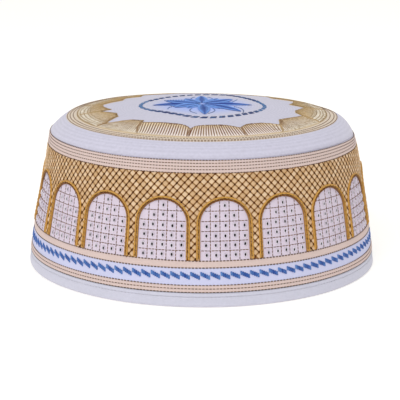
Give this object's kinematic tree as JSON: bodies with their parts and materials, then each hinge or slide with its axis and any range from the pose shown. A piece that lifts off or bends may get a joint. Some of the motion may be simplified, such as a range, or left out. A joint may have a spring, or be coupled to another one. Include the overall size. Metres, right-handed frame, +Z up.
{
  "type": "embroidered kufi cap",
  "caption": "Round embroidered cloth cap: flared side wall with arched windows edged by golden cords, low domed top with a rounded shoulder, folded hem; hollow and open below.",
  "frame": {"origin": "centre of the circle that the cap rests on, in the plane of its lower edge", "axes": "+Z up through the middle of the crown, -Y the front, +X to the right of someone facing the front"},
  "size_m": [0.1888, 0.1888, 0.0849],
  "materials": {
    "crown_cloth": "white cotton, plain and matt",
    "wall_cloth": "white cotton covered with tan, brown and blue embroidery",
    "hem_cloth": "white cotton strip, folded and stitched",
    "golden_cord": "golden silky couching cord"
  },
  "bodies": {
    "root": {"crown": "crown_cloth", "side_band": "wall_cloth", "hem_binding": "hem_cloth", "arch_cord_01": "golden_cord", "arch_cord_02": "golden_cord", "arch_cord_03": "golden_cord", "arch_cord_04": "golden_cord", "arch_cord_05": "golden_cord", "arch_cord_06": "golden_cord", "arch_cord_07": "golden_cord", "arch_cord_08": "golden_cord", "arch_cord_09": "golden_cord", "arch_cord_10": "golden_cord", "arch_cord_11": "golden_cord", "arch_cord_12": "golden_cord", "arch_cord_13": "golden_cord", "arch_cord_14": "golden_cord", "arch_cord_15": "golden_cord", "arch_cord_16": "golden_cord", "arch_cord_17": "golden_cord", "arch_cord_18": "golden_cord"}
  },
  "joints": []
}
